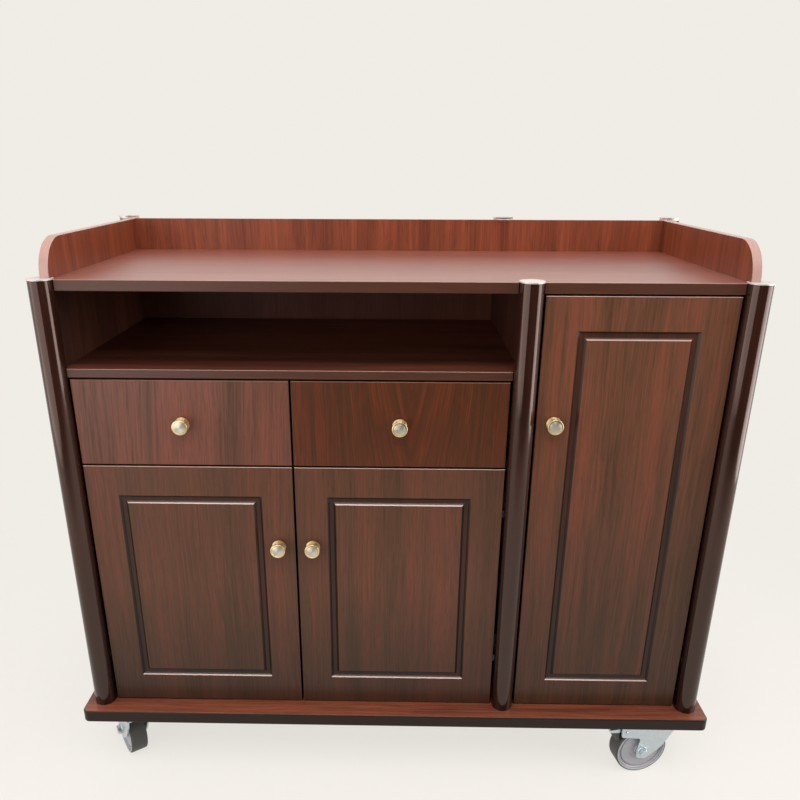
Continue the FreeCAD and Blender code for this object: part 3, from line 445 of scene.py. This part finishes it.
# The drawers' painted highlight: two pale tones and an IOR.
even = ("#5F3A2C", "#6F4536", 1.4)
low_door_foil = wrapped("mahogany_low_door", "#48301F", "#563626", "#663929", shade=painted_shade_to_middle)
tall_door_foil = wrapped("mahogany_tall_door", "#4F3422", "#623D2B", "#76412F", shade=painted_shade_to_top)
left_drawer_foil = wrapped(
    "mahogany_left_drawer", "#4E3224", "#643C2E", "#754134", highlight_tones=even,
    vee=(-0.62, drawer_foot, 0.08, 0.5), shift=(0, 3.1, 0),
)
right_drawer_foil = wrapped(
    "mahogany_right_drawer", "#3E2411", "#4F2814", "#652D19", highlight_tones=even,
    vee=(0.0245, drawer_foot, 0.3, 0.14),
)
dress(["left_door", "right_door"], low_door_foil)
dress(["tall_door"], tall_door_foil)
dress(["left_drawer_front"], left_drawer_foil)
dress(["right_drawer_front"], right_drawer_foil)


# Posts: round wooden bars stained dark and lacquered to a gloss, so that they show long soft
# stripes. They stand on the base board, and are notched over the ends of the panels and glued. Their
# feet are darkened as painted shade.
foot_height, full_height, foot_shade = 0.16, 0.75, 0.35
post_lacquer, tree, coordinates, output = new_material("dark_lacquer_post")
streak = drawn_grain(tree, coordinates, (160, 160, 5), 4.0, 0.6)["Fac"]
stops = [(0, "#1E0F0A"), (1, "#3A1E15"), (0.35, "#26130D"), (0.65, "#331A13")]
height = add(tree, "SeparateXYZ", {0: coordinates}).outputs[2]
fade = add(tree, "MapRange", {0: height, 1: foot_height, 2: full_height, 3: foot_shade, 4: 1.0}).outputs[0]
tone = add(tree, "ValToRGB", {0: streak}, stops=stops).outputs[0]
tone = add(tree, "Mix", {0: 1.0, 6: tone, 7: fade}, data_type="RGBA", blend_type="MULTIPLY").outputs[2]
ripple = drawn_grain(tree, coordinates, (60, 60, 60), 2.0)["Fac"]
bump = add(tree, "Bump", {"Strength": 0.05, "Distance": 0.0002, "Height": ripple})
rough = add(tree, "MapRange", {0: ripple, 1: 0.3, 2: 0.7, 3: 0.09, 4: 0.15})
lacquer = add(tree, "BsdfPrincipled", {
    "Base Color": tone, "Roughness": rough.outputs[0], "IOR": 1.6, "Specular Tint": linear("#FFDFD3"),
    "Normal": bump.outputs[0],
})
tree.links.new(lacquer.outputs[0], output.inputs["Surface"])
for row in ("front", "rear"):
    dress([f"post_{row}_{side}" for side in ("left", "middle", "right")], post_lacquer)


# Caps: discs pressed from sheet steel with a satin finish that looks pale and even, tapped onto the
# post tops. Each rear cap has a short rim as well, which stands on the gallery's top edge.
def metal_skin(tree, coordinates, low, high, roughness, brushing=(1, 1, 1), spread=0.08, depth=0.1):
    """Metal with a grain that varies its tone and shine."""
    lines = drawn_grain(tree, coordinates, brushing, 3.0)["Fac"]
    rough = add(
        tree, "MapRange", {0: lines, 1: 0.3, 2: 0.7, 3: roughness - spread / 2, 4: roughness + spread / 2}
    )
    tone = add(tree, "ValToRGB", {0: lines}, stops=[(0, low), (1, high)])
    bump = add(tree, "Bump", {"Strength": depth, "Distance": 0.0001, "Height": lines})
    return add(tree, "BsdfPrincipled", {
        "Base Color": tone.outputs[0], "Metallic": 1.0, "Roughness": rough.outputs[0],
        "Normal": bump.outputs[0],
    })


def metal(name, *finish):
    """A whole piece in one metal."""
    material, tree, coordinates, output = new_material(name)
    tree.links.new(metal_skin(tree, coordinates, *finish).outputs[0], output.inputs["Surface"])
    return material


cap_steel = metal("satin_steel_cap", "#CBC2BE", "#DAD2CD", 0.6, (400, 400, 400))
dress(["post_caps"], cap_steel)


def finished(shape, sharp=math.radians(32)):
    """Turns a bmesh into a mesh with outward faces, smooth except at real corners."""
    bmesh.ops.recalc_face_normals(shape, faces=shape.faces)
    for face in shape.faces:
        face.smooth = True
    for edge in shape.edges:
        edge.smooth = len(edge.link_faces) == 2 and edge.calc_face_angle() < sharp
    mesh = bpy.data.meshes.new("shape")
    shape.to_mesh(mesh)
    shape.free()
    return mesh


def turn(profile, segments=64, places=(None,)):
    """A mesh turned about its own Z from a list of radius and height, once for each given place."""
    shape = bmesh.new()
    for place in places:
        made = []
        rings = []
        for radius, height in profile:
            spots = [(0, 0, height)]
            if radius > 0:
                angles = [2 * math.pi * index / segments for index in range(segments)]
                spots = [(radius * math.cos(a), radius * math.sin(a), height) for a in angles]
            rings.append([shape.verts.new(spot) for spot in spots])
            made += rings[-1]
        for low, high in zip(rings, rings[1:]):
            for index in range(segments):
                after = (index + 1) % segments
                ends = [low[index % len(low)], low[after % len(low)]]
                ends += [high[after % len(high)], high[index % len(high)]]
                shape.faces.new(list(dict.fromkeys(ends)))
        if place:
            bmesh.ops.transform(shape, matrix=place, verts=made)
    return finished(shape)


def fit(name, mesh, material, body, place=None, stands_for=()):
    """Hangs a finished mesh in the scene as a named piece that rides on a body."""
    mesh.name = name
    mesh.materials.append(material)
    piece = bpy.data.objects.new(name, mesh)
    scene.collection.objects.link(piece)
    piece.matrix_world = place or Matrix()
    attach(piece, body)
    if stands_for:
        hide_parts(*stands_for)
    return piece


post_radius = 0.0195
rim_inside, rim_outside, rim_depth = 0.01955, 0.01995, 0.0024
cap_rim = [(rim_inside, -rim_depth), (rim_outside, -rim_depth), (rim_outside, 0), (rim_inside, 0)]
cap_rim.append(cap_rim[0])
spots = []
for side in ("left", "middle", "right"):
    low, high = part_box(f"post_rear_{side}")
    spots.append(Matrix.Translation((high.x - post_radius, high.y - post_radius, high.z)))
fit("rear_cap_rims", turn(cap_rim, 64, spots), cap_steel, "carcass")


# Knobs: turned from brass bar and polished to a pale gold, with a shallow cone for a face, which is
# brushed and nickel plated and shines in soft wedges. Each is held by a screw from behind, through
# the front.
def arc(radius, height, size, start, end, steps=4):
    """Points of a round on a turned profile, about a centre, from one angle to another."""
    angles = [math.radians(start + (end - start) * step / steps) for step in range(steps + 1)]
    return [(radius + size * math.cos(angle), height + size * math.sin(angle)) for angle in angles]


def middle_of(node):
    """The middle of a CAD node's box."""
    low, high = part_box(node)
    return Vector((low.x + high.x, low.y + high.y, low.z + high.z)) / 2


knob_length = 0.0239
knob_brass = metal("pale_polished_brass", "#D9B981", "#ECD5A8", 0.3, (500, 500, 500))
knob_nickel, tree, coordinates, output = new_material("turned_nickel_face")
turned_face = metal_skin(tree, coordinates, "#C8BFAC", "#E0D8C8", 0.42, (900, 900, 60), 0.1, 0.1)
turned_face.inputs["Anisotropic"].default_value = 0.75
turned_face.inputs["Anisotropic Rotation"].default_value = 0.25
lathe = add(tree, "Tangent", direction_type="RADIAL", axis="Z")
tree.links.new(lathe.outputs[0], turned_face.inputs["Tangent"])
tree.links.new(turned_face.outputs[0], output.inputs["Surface"])
ridge_count, first_ridge, ridge_pitch = 5, 0.0044, 0.00268
ridges = []
for ridge in range(ridge_count):
    start = first_ridge + ridge_pitch * ridge
    ridges += [(0.0112, start - 0.0003), (0.0116, start), *arc(0.0119, start + 0.0009, 0.0009, -75, 75)]
    ridges += [(0.0116, start + 0.0018)]
knob_body = [(0, 0), (0.0096, 0), *arc(0.0094, 0.0006, 0.0006, -90, 0), *arc(0.0094, 0.0014, 0.0006, 0, 90)]
knob_body += [(0.0082, 0.0022), (0.0078, 0.0028), (0.0078, 0.0034), (0.0096, 0.0041)]
knob_body += [*ridges, (0.0112, 0.0176), *arc(0.012, 0.0192, 0.0013, -90, 0)]
knob_body += [*arc(0.012, 0.0214, 0.0013, 0, 70), (0.0114, 0.0229), (0.0106, 0.0229), (0.0102, 0.0224)]
knob_face = [(0.0102, 0.0221), (0.0102, 0.0225), (0.0096, 0.0228), (0.0056, 0.0233)]
knob_face += [(0.0014, knob_length), (0, knob_length)]
outward = Matrix.Rotation(math.pi / 2, 4, "X")
knob_owners = ("left_door", "right_door", "tall_door", "left_drawer", "right_drawer")
for owner in knob_owners:
    low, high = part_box(f"{owner}_knob")
    place = Matrix.Translation(((low.x + high.x) / 2, high.y, (low.z + high.z) / 2)) @ outward
    fit(f"{owner}_knob_body", turn(knob_body), knob_brass, owner, place, [f"{owner}_knob"])
    fit(f"{owner}_knob_face", turn(knob_face), knob_nickel, owner, place)


# Knob screws: zinc-plated pan heads with a washer face, sunk socket and rounded edge, on the back of
# each front. The plating is bright, a little blue and faintly mottled.
zinc_finish = ("#B8C2C6", "#D2DBDF", 0.36, (150, 150, 150), 0.12)
zinc = metal("zinc_plated_steel", *zinc_finish)
pan_head = [(0, 0), (0.0045, 0), (0.0046, 0.0003), *arc(0.0038, 0.0012, 0.0008, 0, 90), (0.002, 0.0021)]
pan_head += [(0.0018, 0.0019), (0.0015, 0.001), (0, 0.0008)]
front_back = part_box("left_door")[1].y
inward = Matrix.Rotation(-math.pi / 2, 4, "X")
for owner in knob_owners:
    spot = middle_of(f"{owner}_knob")
    place = Matrix.Translation((spot.x, front_back, spot.z)) @ inward
    fit(f"{owner}_knob_screw", turn(pan_head, 32), zinc, owner, place)


# Concealed hinges: a pressed cup in a bored hole, with a flange held by two screws and a knuckle at
# its mouth. The arm and its plate are screwed to the carcass side. They and the shelf pins have a
# darker, greyer steel tone, which is painted shade so that they stay dark in the gaps beside the doors.
def plate(outline, thick, bevel, places=(None,)):
    """A flat plate from an outline in its own XY plane, with all its edges softened."""
    shape = bmesh.new()
    for place in places:
        before = set(shape.verts)
        low = [shape.verts.new((x, y, 0)) for x, y in outline]
        high = [shape.verts.new((x, y, thick)) for x, y in outline]
        shape.faces.new(low)
        shape.faces.new(high)
        for index in range(len(outline)):
            after = (index + 1) % len(outline)
            shape.faces.new([low[index], low[after], high[after], high[index]])
        if place:
            made = [vert for vert in shape.verts if vert not in before]
            bmesh.ops.transform(shape, matrix=place, verts=made)
    bmesh.ops.recalc_face_normals(shape, faces=shape.faces)
    bmesh.ops.bevel(
        shape, geom=list(shape.edges), offset=bevel, segments=2, affect="EDGES", profile=0.5,
        clamp_overlap=True,
    )
    return finished(shape)


def rounded(width, height, radius, steps=4):
    """Points round a rectangle with rounded corners, about its middle."""
    points = []
    for x, y, start in ((1, 1, 0), (-1, 1, 90), (-1, -1, 180), (1, -1, 270)):
        centre = (x * (width / 2 - radius), y * (height / 2 - radius))
        points += arc(*centre, radius, start, start + 90, steps)
    return points


cup_bowl = [(0, -0.0118), (0.0168, -0.0118), *arc(0.0166, -0.011, 0.0008, -90, 0), (0.0174, 0.0004)]
cup_bowl += [(0.0188, 0.0004), (0.0188, 0.0014), (0.0158, 0.0014), (0.0152, 0.0006), (0.0149, -0.0096)]
cup_bowl += [(0.0139, -0.0106), (0, -0.0106)]
cup_inset, cup_height = 0.0225, 0.046
flange_reach, flange_thick = 0.0205, 0.0012
knuckle_reach, knuckle_depth = 0.0125, 0.006
arm_plate = 0.0045
arm_screw_depths = (0.012, 0.03, 0.058)
for door, edge, direction in (("left_door", 0, 1), ("right_door", 1, -1), ("tall_door", 1, -1)):
    edge_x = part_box(door)[edge].x
    low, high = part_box(f"{door}_hinge_cups")
    count = 3 if door == "tall_door" else 2
    pitch = (high.z - low.z - cup_height) / (count - 1)
    heights = [low.z + cup_height / 2 + pitch * index for index in range(count)]
    cup_x = edge_x + direction * cup_inset
    spots = [Matrix.Translation((cup_x, front_back, z)) @ inward for z in heights]
    fit(
        f"{door}_hinge_bowls", turn(cup_bowl, 48, spots), zinc, door,
        stands_for=[f"{door}_hinge_cups"],
    )
    wings = [
        spot @ Matrix.Translation((0, side * flange_reach, 0)) for spot in spots for side in (-1, 1)
    ]
    flanges = plate(rounded(0.022, 0.011, 0.0045), flange_thick, 0.0003, wings)
    fit(f"{door}_hinge_flanges", flanges, zinc, door)
    heads = [wing @ Matrix.Translation((0, 0, flange_thick)) for wing in wings]
    fit(f"{door}_hinge_screws", turn(pan_head, 24, heads), zinc, door)
    ends = [spot @ Matrix.Translation((-direction * knuckle_reach, 0, -knuckle_depth)) for spot in spots]
    knuckles = plate(rounded(0.006, 0.013, 0.002), 0.0105, 0.0006, ends)
    fit(f"{door}_hinge_knuckles", knuckles, zinc, door)
    wall_x = edge_x + direction * arm_plate
    turned = Matrix.Rotation(direction * math.pi / 2, 4, "Y")
    studs = [
        Matrix.Translation((wall_x, front_back + away, z)) @ turned
        for z in heights
        for away in arm_screw_depths
    ]
    fit(f"{door}_arm_screws", turn(pan_head, 24, studs), zinc, "carcass")
# Painted shade: a darker steel tone, so that the arms and pins stay dark in the gaps.
shaded_hinge_steel = metal("shaded_dark_hinge_steel", "#6E777B", "#889195", 0.4, (150, 150, 150), 0.12)
dress(["hinge_arms", "shelf_pins"], shaded_hinge_steel)


# Door bumpers: clear, slightly cloudy domes of soft plastic, moulded with a sticky back and stuck
# inside the corners away from the hinges, so that the doors close softly.
bumper_inset = 0.012
bumper_plastic, tree, coordinates, output = new_material("clear_bumper_plastic")
cloud = drawn_grain(tree, coordinates, (400, 400, 400), 2.0)["Fac"]
tone = add(tree, "ValToRGB", {0: cloud}, stops=[(0, "#C9C4BA"), (1, "#DDD9D0")])
rough = add(tree, "MapRange", {0: cloud, 1: 0.3, 2: 0.7, 3: 0.24, 4: 0.34})
soft = add(tree, "BsdfPrincipled", {
    "Base Color": tone.outputs[0], "Roughness": rough.outputs[0], "IOR": 1.49, "Subsurface Weight": 0.2,
})
tree.links.new(soft.outputs[0], output.inputs["Surface"])
bumper = [(0, 0), (0.004, 0), (0.0041, 0.0006), (0.0036, 0.0014), (0.0022, 0.002), (0, 0.0022)]
for door, edge in (("left_door", 1), ("right_door", 0), ("tall_door", 0)):
    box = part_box(door)
    x = box[edge].x + (bumper_inset if edge == 0 else -bumper_inset)
    ends = (box[0].z + bumper_inset, box[1].z - bumper_inset)
    spots = [Matrix.Translation((x, front_back, z)) @ inward for z in ends]
    fit(f"{door}_bumpers", turn(bumper, 24, spots), bumper_plastic, door)


# Drawer boxes: birch ply, sanded, sealed and glued up, so that pale streaks show under a dull skin.
# The packing strips behind the drawer channels have the inside boards' dark foil, as painted shade
# where they show in the gaps.
ply, tree, coordinates, output = new_material("birch_ply")
grain = drawn_grain(tree, coordinates, (60, 5, 140), 5.0)["Fac"]
tone = add(tree, "ValToRGB", {0: grain}, stops=[(0, "#B08A5C"), (1, "#D8BC92")])
rough = add(tree, "MapRange", {0: grain, 1: 0.3, 2: 0.7, 3: 0.44, 4: 0.56})
bump = add(tree, "Bump", {"Strength": 0.15, "Distance": 0.0001, "Height": grain})
sealed = add(tree, "BsdfPrincipled", {
    "Base Color": tone.outputs[0], "Roughness": rough.outputs[0], "Normal": bump.outputs[0],
})
tree.links.new(sealed.outputs[0], output.inputs["Surface"])
# Painted shade: the packing strips take the dark inside foil.
dress(["runner_strips"], shaded_inside_foil)
for drawer in ("left_drawer", "right_drawer"):
    dress([f"{drawer}_sides", f"{drawer}_back", f"{drawer}_floor"], ply)


# Drawer runners: folded from zinc-plated sheet. One half is screwed to the packing strips on the
# carcass, and the other to the drawer's side.
dress(["runner_channels", "left_drawer_rails", "right_drawer_rails"], zinc)


# Back panel screws: low round heads of zinc-plated steel, driven from behind along the panel's two
# ends and along the divider.
low_head = [(0, 0), (0.0046, 0), (0.0047, 0.0002), (0.004, 0.0007), (0.0019, 0.001)]
low_head += [(0.0016, 0.0005), (0, 0.0004)]
back_low, back_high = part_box("back_panel")
screw_inset = 0.008
divider_middle = 0.211
rows = [0.2, 0.4, 0.6, 0.8, 0.94]
columns = [back_low.x + screw_inset, divider_middle, back_high.x - screw_inset]
spots = [Matrix.Translation((x, back_high.y, z)) @ inward for x in columns for z in rows]
fit("back_panel_screws", turn(low_head, 24, spots), zinc, "carcass")


# Casters: pressed and zinc-plated forks on a ball race, with a brake pedal on the front two. The
# wheels have grey moulded hubs under pale grey tyre walls, with a dark rubber tread.
def moulded_skin(tree, coordinates, low, high, roughness):
    """Moulded plastic or rubber with a fine cast texture."""
    speck = drawn_grain(tree, coordinates, (300, 300, 300), 4.0)["Fac"]
    tone = add(tree, "ValToRGB", {0: speck}, stops=[(0, low), (1, high)])
    rough = add(tree, "MapRange", {0: speck, 1: 0.3, 2: 0.7, 3: roughness - 0.05, 4: roughness + 0.05})
    bump = add(tree, "Bump", {"Strength": 0.2, "Distance": 0.0002, "Height": speck})
    return add(tree, "BsdfPrincipled", {
        "Base Color": tone.outputs[0], "Roughness": rough.outputs[0], "Normal": bump.outputs[0],
    }).outputs[0]


def moulded(name, *finish):
    """A whole piece in one plastic or rubber."""
    material, tree, coordinates, output = new_material(name)
    tree.links.new(moulded_skin(tree, coordinates, *finish), output.inputs["Surface"])
    return material


def both_sides(half):
    """A whole wheel profile from the half on one side of its middle."""
    return half + [(radius, -across) for radius, across in reversed(half)]


tread_finish = ("#35332F", "#4A4844", 0.5)
hub_plastic = moulded("grey_hub_plastic", "#98979B", "#AEACB1", 0.36)
wall_rubber = moulded("pale_tyre_wall", "#9C9C9E", "#B0B0B3", 0.42)
tread_rubber = moulded("dark_tyre_tread", *tread_finish)
hub_half = [(0.00508, 0.018), (0.0118, 0.018), *arc(0.0118, 0.0168, 0.0012, 90, 0), (0.0134, 0.0136)]
hub_half += [(0.0142, 0.013), (0.0402, 0.013), *arc(0.0402, 0.0122, 0.0008, 90, 0), (0.0411, 0.0102)]
hub_half += [(0.0434, 0.0102), (0.0436, 0.0122), (0.0439, 0.0129), (0.0444, 0.0131), (0.0446, 0.0141)]
hub_half += [(0.0453, 0.015), *arc(0.0458, 0.0138, 0.0012, 90, 0)]
wall_half = [(0.04705, 0.0152), (0.0476, 0.0161), *arc(0.0494, 0.0152, 0.0013, 90, 20), (0.0508, 0.0146)]
tread_half = [(0.0509, 0.0148), *arc(0.0502, 0.0137, 0.0028, 70, 0, 6), (0.053, 0.008), (0.053, 0.0)]
hub_ring = both_sides(hub_half)
hub_ring.append(hub_ring[0])
washer = [(0.0088, 0), (0.0118, 0), (0.012, 0.0004), (0.0116, 0.0011), (0.0087, 0.0012)]
hex_angles = [math.radians(60 * corner) for corner in range(6)]
nut_radius, nut_thick = 0.0099, 0.0046
nut_hex = [(nut_radius * math.cos(angle), nut_radius * math.sin(angle)) for angle in hex_angles]
pin_head = [(0.0036, -0.0002), (0.0036, 0.0004), (0.003, 0.0012), (0.0016, 0.0018), (0, 0.002)]
# The shoe's dark rubber is partly its own colour and partly painted shade for the dark gap beside the
# pedal.
brake_steel, tree, coordinates, output = new_material("zinc_pedal_and_rubber_shoe")
height = add(tree, "SeparateXYZ", {0: coordinates}).outputs[2]
shoe_top = 0.1005
shoe = add(
    tree, "MapRange", {0: height, 1: shoe_top - 0.0002, 2: shoe_top + 0.0002, 3: 1.0, 4: 0.0}
).outputs[0]
sheet_steel = metal_skin(tree, coordinates, *zinc_finish).outputs[0]
shoe_rubber = moulded_skin(tree, coordinates, *tread_finish)
shod = add(tree, "MixShader", {0: shoe, 1: sheet_steel, 2: shoe_rubber}).outputs[0]
tree.links.new(shod, output.inputs["Surface"])
fork_half_width, nut_lift = 0.0215, 0.0013
half_fork = Matrix.Translation((0, 0, fork_half_width))
faces = [half_fork, Matrix.Rotation(math.pi, 4, "X") @ half_fork]
raised = [face @ Matrix.Translation((0, 0, nut_lift)) for face in faces]
sides = [Matrix(), Matrix.Rotation(math.pi, 4, "X")]
walls = wall_half + [(0.0472, 0.0146), wall_half[0]]
tread = both_sides(tread_half[:-1]) + [(0.0472, -0.0146), (0.0472, 0.0146), tread_half[0]]
ribs = [Matrix.Translation((x, 0, 0.059)) for x in (-0.069, -0.064, -0.059)]
pivot = Matrix.Translation((-0.041, 0, 0.053))
turn_shares = {"front_left": -0.152, "front_right": 0.033, "rear_left": 0.39, "rear_right": 0.1}
for corner, share in turn_shares.items():
    spin = Matrix.Rotation(2 * math.pi * share, 4, "Z")
    axle = Matrix.Translation(middle_of(f"caster_{corner}_hub")) @ spin
    across = axle @ Matrix.Rotation(math.pi / 2, 4, "X")
    name, wheel, swivel = f"caster_{corner}", f"wheel_{corner}", f"swivel_{corner}"
    fit(f"{name}_hub_disc", turn(hub_ring, 96), hub_plastic, wheel, across, [f"{name}_hub"])
    fit(f"{name}_tyre_walls", turn(walls, 96, sides), wall_rubber, wheel, across)
    fit(f"{name}_tyre_tread", turn(tread, 96), tread_rubber, wheel, across, [f"{name}_tyre"])
    fit(f"{name}_washers", turn(washer, 32, faces), zinc, swivel, across)
    nuts = plate(nut_hex, nut_thick, 0.0006, raised)
    fit(f"{name}_nuts", nuts, zinc, swivel, across)
    dress([f"{name}_fork"], zinc)
    if corner.startswith("front"):
        dress([f"{name}_pedal"], brake_steel)
        pedal = f"pedal_{corner}"
        hooks = axle @ pivot @ Matrix.Rotation(math.pi / 2, 4, "X")
        pin_heads = turn(pin_head, 24, faces)
        fit(f"{name}_pedal_pin_heads", pin_heads, zinc, pedal, hooks)
        rib_plate = plate(rounded(0.0022, 0.026, 0.001, 2), 0.0014, 0.0005, ribs)
        fit(f"{name}_pedal_ribs", rib_plate, zinc, pedal, axle)
dress(["caster_plates", "caster_screws"], zinc)
